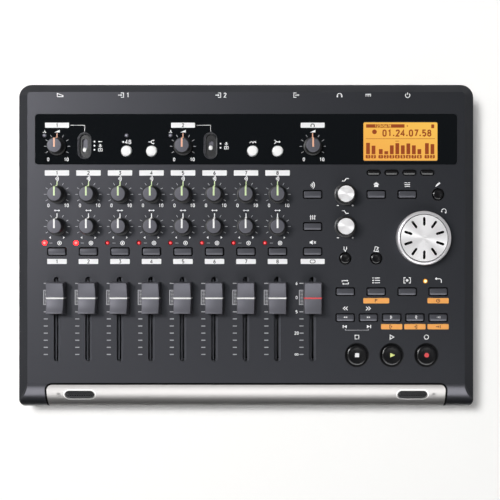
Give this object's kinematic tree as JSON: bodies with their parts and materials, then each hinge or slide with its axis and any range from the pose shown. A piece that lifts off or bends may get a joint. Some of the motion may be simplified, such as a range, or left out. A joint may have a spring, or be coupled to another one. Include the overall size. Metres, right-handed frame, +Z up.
{
  "type": "digital multitrack recorder",
  "caption": "Flat desktop recorder with fader strips, pan and send knobs, a lit display, a data wheel, transport buttons and rear audio sockets.",
  "frame": {"origin": "on the table under the middle of the case", "axes": "+X to the right, +Y to the rear where the sockets are, +Z up from the table"},
  "size_m": [0.29, 0.2064, 0.0413],
  "materials": {
    "case_charcoal": "moulded ABS, fine satin texture",
    "case_black": "moulded ABS, fine matte texture",
    "bar_silver": "ABS with satin silver paint",
    "fascia_black": "polished acrylic, printed black behind",
    "display_amber": "back-lit amber display under a polariser",
    "board_green": "solder-masked glass epoxy",
    "socket_black": "moulded nylon",
    "plated_steel": "zinc-plated pressed steel",
    "switch_black": "moulded nylon",
    "lamp_red": "tinted epoxy",
    "mesh_black": "perforated steel, black paint",
    "foot_rubber": "moulded rubber",
    "fader_grey": "moulded ABS, satin",
    "knob_charcoal": "moulded ABS with a soft-touch coat",
    "knob_silver": "spun aluminium cap",
    "lever_white": "moulded acetal",
    "button_white": "moulded ABS",
    "key_grey": "moulded ABS",
    "button_black": "polished ABS"
  },
  "bodies": {
    "case": {"top_case": "case_charcoal", "bottom_case": "case_black", "front_bar": "bar_silver", "display_fascia": "fascia_black", "lcd_module": "display_amber", "circuit_boards": "board_green", "xlr_sockets": "socket_black", "jack_sockets": "socket_black", "fader_rails": "plated_steel", "rotary_pots": "plated_steel", "key_switches": "switch_black", "indicator_lamps": "lamp_red", "microphones": "mesh_black", "card_and_usb_sockets": "plated_steel", "rubber_feet": "foot_rubber", "fixing_screws": "plated_steel"},
    "fader_1": {"fader_1": "fader_grey"},
    "fader_2": {"fader_2": "fader_grey"},
    "fader_3": {"fader_3": "fader_grey"},
    "fader_4": {"fader_4": "fader_grey"},
    "fader_5": {"fader_5": "fader_grey"},
    "fader_6": {"fader_6": "fader_grey"},
    "fader_7": {"fader_7": "fader_grey"},
    "fader_8": {"fader_8": "fader_grey"},
    "fader_master": {"fader_master": "fader_grey"},
    "send_knob_1": {"send_knob_1": "knob_charcoal"},
    "send_knob_2": {"send_knob_2": "knob_charcoal"},
    "send_knob_3": {"send_knob_3": "knob_charcoal"},
    "send_knob_4": {"send_knob_4": "knob_charcoal"},
    "send_knob_5": {"send_knob_5": "knob_charcoal"},
    "send_knob_6": {"send_knob_6": "knob_charcoal"},
    "send_knob_7": {"send_knob_7": "knob_charcoal"},
    "send_knob_8": {"send_knob_8": "knob_charcoal"},
    "pan_knob_1": {"pan_knob_1": "knob_charcoal"},
    "pan_knob_2": {"pan_knob_2": "knob_charcoal"},
    "pan_knob_3": {"pan_knob_3": "knob_charcoal"},
    "pan_knob_4": {"pan_knob_4": "knob_charcoal"},
    "pan_knob_5": {"pan_knob_5": "knob_charcoal"},
    "pan_knob_6": {"pan_knob_6": "knob_charcoal"},
    "pan_knob_7": {"pan_knob_7": "knob_charcoal"},
    "pan_knob_8": {"pan_knob_8": "knob_charcoal"},
    "trim_knob_a": {"trim_knob_a": "knob_charcoal"},
    "trim_knob_b": {"trim_knob_b": "knob_charcoal"},
    "phones_knob": {"phones_knob": "knob_charcoal"},
    "eq_high_knob": {"eq_high_knob": "knob_silver"},
    "eq_low_knob": {"eq_low_knob": "knob_silver"},
    "data_wheel": {"data_wheel": "knob_silver"},
    "input_switch_a": {"input_switch_a": "lever_white"},
    "input_switch_b": {"input_switch_b": "lever_white"},
    "power_button": {"power_button": "key_grey"},
    "card_door": {"card_door": "case_black"},
    "mode_buttons": {"mode_buttons": "button_white"},
    "rec_keys": {"rec_keys": "key_grey"},
    "master_keys": {"master_keys": "key_grey"},
    "function_keys": {"function_keys": "key_grey"},
    "menu_keys": {"menu_keys": "key_grey"},
    "locate_keys": {"locate_keys": "key_grey"},
    "stop_button": {"stop_button": "button_black"},
    "play_button": {"play_button": "button_black"},
    "record_button": {"record_button": "button_black"}
  },
  "joints": [
    {"name": "fader_1_slide", "type": "slide", "parent": "case", "child": "fader_1", "axis": [0, 1, 0], "range_m": [-0.036, 0.009]},
    {"name": "fader_2_slide", "type": "slide", "parent": "case", "child": "fader_2", "axis": [0, 1, 0], "range_m": [-0.036, 0.009]},
    {"name": "fader_3_slide", "type": "slide", "parent": "case", "child": "fader_3", "axis": [0, 1, 0], "range_m": [-0.036, 0.009]},
    {"name": "fader_4_slide", "type": "slide", "parent": "case", "child": "fader_4", "axis": [0, 1, 0], "range_m": [-0.036, 0.009]},
    {"name": "fader_5_slide", "type": "slide", "parent": "case", "child": "fader_5", "axis": [0, 1, 0], "range_m": [-0.036, 0.009]},
    {"name": "fader_6_slide", "type": "slide", "parent": "case", "child": "fader_6", "axis": [0, 1, 0], "range_m": [-0.036, 0.009]},
    {"name": "fader_7_slide", "type": "slide", "parent": "case", "child": "fader_7", "axis": [0, 1, 0], "range_m": [-0.036, 0.009]},
    {"name": "fader_8_slide", "type": "slide", "parent": "case", "child": "fader_8", "axis": [0, 1, 0], "range_m": [-0.036, 0.009]},
    {"name": "fader_master_slide", "type": "slide", "parent": "case", "child": "fader_master", "axis": [0, 1, 0], "range_m": [-0.036, 0.009]},
    {"name": "send_knob_1_turn", "type": "hinge", "parent": "case", "child": "send_knob_1", "pos_m": [-0.12, 0.0331, 0.0315], "axis": [0, 0, 1], "range_deg": [-150, 150]},
    {"name": "send_knob_2_turn", "type": "hinge", "parent": "case", "child": "send_knob_2", "pos_m": [-0.1, 0.0331, 0.0315], "axis": [0, 0, 1], "range_deg": [-150, 150]},
    {"name": "send_knob_3_turn", "type": "hinge", "parent": "case", "child": "send_knob_3", "pos_m": [-0.08, 0.0331, 0.0315], "axis": [0, 0, 1], "range_deg": [-150, 150]},
    {"name": "send_knob_4_turn", "type": "hinge", "parent": "case", "child": "send_knob_4", "pos_m": [-0.06, 0.0331, 0.0315], "axis": [0, 0, 1], "range_deg": [-150, 150]},
    {"name": "send_knob_5_turn", "type": "hinge", "parent": "case", "child": "send_knob_5", "pos_m": [-0.04, 0.0331, 0.0315], "axis": [0, 0, 1], "range_deg": [-150, 150]},
    {"name": "send_knob_6_turn", "type": "hinge", "parent": "case", "child": "send_knob_6", "pos_m": [-0.02, 0.0331, 0.0315], "axis": [0, 0, 1], "range_deg": [-150, 150]},
    {"name": "send_knob_7_turn", "type": "hinge", "parent": "case", "child": "send_knob_7", "pos_m": [0, 0.0331, 0.0315], "axis": [0, 0, 1], "range_deg": [-150, 150]},
    {"name": "send_knob_8_turn", "type": "hinge", "parent": "case", "child": "send_knob_8", "pos_m": [0.02, 0.0331, 0.0315], "axis": [0, 0, 1], "range_deg": [-150, 150]},
    {"name": "pan_knob_1_turn", "type": "hinge", "parent": "case", "child": "pan_knob_1", "pos_m": [-0.12, 0.0127, 0.0315], "axis": [0, 0, 1], "range_deg": [-150, 150]},
    {"name": "pan_knob_2_turn", "type": "hinge", "parent": "case", "child": "pan_knob_2", "pos_m": [-0.1, 0.0127, 0.0315], "axis": [0, 0, 1], "range_deg": [-150, 150]},
    {"name": "pan_knob_3_turn", "type": "hinge", "parent": "case", "child": "pan_knob_3", "pos_m": [-0.08, 0.0127, 0.0315], "axis": [0, 0, 1], "range_deg": [-150, 150]},
    {"name": "pan_knob_4_turn", "type": "hinge", "parent": "case", "child": "pan_knob_4", "pos_m": [-0.06, 0.0127, 0.0315], "axis": [0, 0, 1], "range_deg": [-150, 150]},
    {"name": "pan_knob_5_turn", "type": "hinge", "parent": "case", "child": "pan_knob_5", "pos_m": [-0.04, 0.0127, 0.0315], "axis": [0, 0, 1], "range_deg": [-150, 150]},
    {"name": "pan_knob_6_turn", "type": "hinge", "parent": "case", "child": "pan_knob_6", "pos_m": [-0.02, 0.0127, 0.0315], "axis": [0, 0, 1], "range_deg": [-150, 150]},
    {"name": "pan_knob_7_turn", "type": "hinge", "parent": "case", "child": "pan_knob_7", "pos_m": [0, 0.0127, 0.0315], "axis": [0, 0, 1], "range_deg": [-150, 150]},
    {"name": "pan_knob_8_turn", "type": "hinge", "parent": "case", "child": "pan_knob_8", "pos_m": [0.02, 0.0127, 0.0315], "axis": [0, 0, 1], "range_deg": [-150, 150]},
    {"name": "trim_knob_a_turn", "type": "hinge", "parent": "case", "child": "trim_knob_a", "pos_m": [-0.12, 0.0636, 0.0315], "axis": [0, 0, 1], "range_deg": [-150, 150]},
    {"name": "trim_knob_b_turn", "type": "hinge", "parent": "case", "child": "trim_knob_b", "pos_m": [-0.04, 0.0636, 0.0315], "axis": [0, 0, 1], "range_deg": [-150, 150]},
    {"name": "phones_knob_turn", "type": "hinge", "parent": "case", "child": "phones_knob", "pos_m": [0.0423, 0.0636, 0.0315], "axis": [0, 0, 1], "range_deg": [-150, 150]},
    {"name": "eq_high_knob_turn", "type": "hinge", "parent": "case", "child": "eq_high_knob", "pos_m": [0.063, 0.0331, 0.0315], "axis": [0, 0, 1], "continuous": true},
    {"name": "eq_low_knob_turn", "type": "hinge", "parent": "case", "child": "eq_low_knob", "pos_m": [0.063, 0.0127, 0.0315], "axis": [0, 0, 1], "continuous": true},
    {"name": "data_wheel_turn", "type": "hinge", "parent": "case", "child": "data_wheel", "pos_m": [0.11213, 0.0053, 0.0315], "axis": [0, 0, 1], "continuous": true},
    {"name": "input_switch_a_slide", "type": "slide", "parent": "case", "child": "input_switch_a", "axis": [0, 1, 0], "range_m": [0, 0.0052]},
    {"name": "input_switch_b_slide", "type": "slide", "parent": "case", "child": "input_switch_b", "axis": [0, 1, 0], "range_m": [0, 0.0026]},
    {"name": "power_button_slide", "type": "slide", "parent": "case", "child": "power_button", "axis": [0, -1, 0], "range_m": [0, 0.0025], "stiffness_N_per_m": 300, "springref_m": -0.003},
    {"name": "card_door_turn", "type": "hinge", "parent": "case", "child": "card_door", "pos_m": [0.09165, -0.1022, 0.0059], "axis": [1, 0, 0], "range_deg": [0, 100]},
    {"name": "mode_buttons_slide", "type": "slide", "parent": "case", "child": "mode_buttons", "axis": [0, 0, -1], "range_m": [0, 0.0008], "stiffness_N_per_m": 300, "springref_m": -0.003},
    {"name": "rec_keys_slide", "type": "slide", "parent": "case", "child": "rec_keys", "axis": [0, 0, -1], "range_m": [0, 0.0008], "stiffness_N_per_m": 300, "springref_m": -0.003},
    {"name": "master_keys_slide", "type": "slide", "parent": "case", "child": "master_keys", "axis": [0, 0, -1], "range_m": [0, 0.0008], "stiffness_N_per_m": 300, "springref_m": -0.003},
    {"name": "function_keys_slide", "type": "slide", "parent": "case", "child": "function_keys", "axis": [0, 0, -1], "range_m": [0, 0.0008], "stiffness_N_per_m": 300, "springref_m": -0.003},
    {"name": "menu_keys_slide", "type": "slide", "parent": "case", "child": "menu_keys", "axis": [0, 0, -1], "range_m": [0, 0.0008], "stiffness_N_per_m": 300, "springref_m": -0.003},
    {"name": "locate_keys_slide", "type": "slide", "parent": "case", "child": "locate_keys", "axis": [0, 0, -1], "range_m": [0, 0.0008], "stiffness_N_per_m": 300, "springref_m": -0.003},
    {"name": "stop_button_slide", "type": "slide", "parent": "case", "child": "stop_button", "axis": [0, 0, -1], "range_m": [0, 0.0008], "stiffness_N_per_m": 300, "springref_m": -0.003},
    {"name": "play_button_slide", "type": "slide", "parent": "case", "child": "play_button", "axis": [0, 0, -1], "range_m": [0, 0.0008], "stiffness_N_per_m": 300, "springref_m": -0.003},
    {"name": "record_button_slide", "type": "slide", "parent": "case", "child": "record_button", "axis": [0, 0, -1], "range_m": [0, 0.0008], "stiffness_N_per_m": 300, "springref_m": -0.003}
  ]
}
